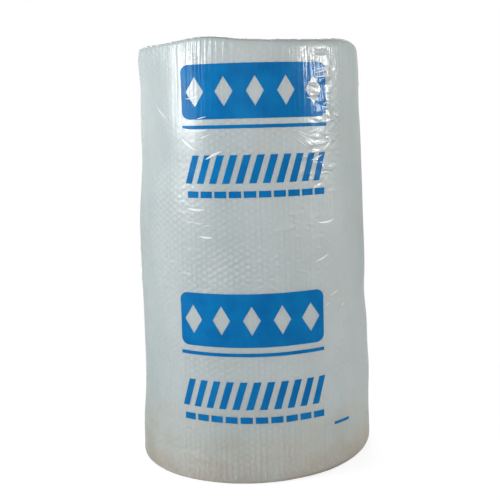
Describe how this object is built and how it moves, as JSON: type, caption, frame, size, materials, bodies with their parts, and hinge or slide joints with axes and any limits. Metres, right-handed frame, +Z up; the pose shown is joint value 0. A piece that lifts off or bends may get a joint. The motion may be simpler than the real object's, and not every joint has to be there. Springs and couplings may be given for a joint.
{
  "type": "bubble wrap roll",
  "caption": "Large roll of bubble wrap on its end, wound with a hollow along its axis, in a clear film sleeve that folds over both rims and carries blue print on its front.",
  "frame": {"origin": "middle of the roll's base, on the floor", "axes": "+Z up along the roll's axis, -Y towards the printed front"},
  "size_m": [0.8598, 0.86, 1.5],
  "materials": {
    "wrap": "milky, slightly translucent",
    "film": "clear, glossy and creased",
    "blue_ink": "flat blue under gloss"
  },
  "bodies": {
    "root": {"bubble_roll": "wrap", "film_sleeve": "film", "upper_print": "blue_ink", "lower_print": "blue_ink", "register_mark": "blue_ink"}
  },
  "joints": []
}
